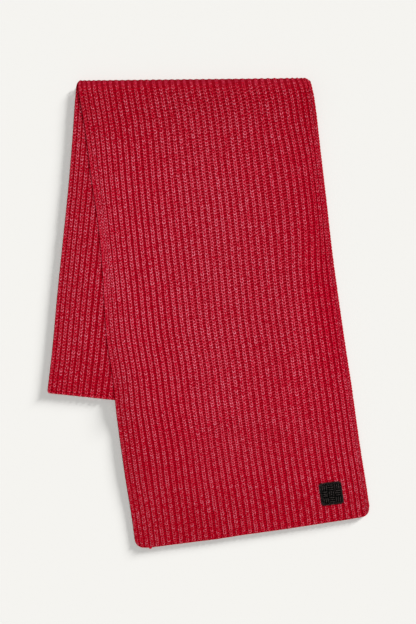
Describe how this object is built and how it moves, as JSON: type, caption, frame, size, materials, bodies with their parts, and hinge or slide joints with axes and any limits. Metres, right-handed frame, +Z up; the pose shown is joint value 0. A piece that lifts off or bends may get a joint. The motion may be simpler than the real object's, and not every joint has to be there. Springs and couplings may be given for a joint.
{
  "type": "knit scarf",
  "caption": "Ribbed knit scarf folded once over and laid flat, its longer leg on top of the shorter one, with a small stitched patch near the front end.",
  "frame": {"origin": "middle of the folded scarf's extent across and along, at the height of the surface it lies on", "axes": "+Y from the scarf's front end towards its fold, +X across to the right as it is looked down on, +Z up"},
  "size_m": [0.3414, 0.4984, 0.0142],
  "materials": {
    "red_knit": "matt marled yarn, deep red with pale pink flecks",
    "patch_thread": "black embroidery thread, slightly glossy"
  },
  "bodies": {
    "root": {"front_leg": "red_knit", "fold_turn": "red_knit", "back_leg": "red_knit", "patch": "patch_thread"}
  },
  "joints": []
}
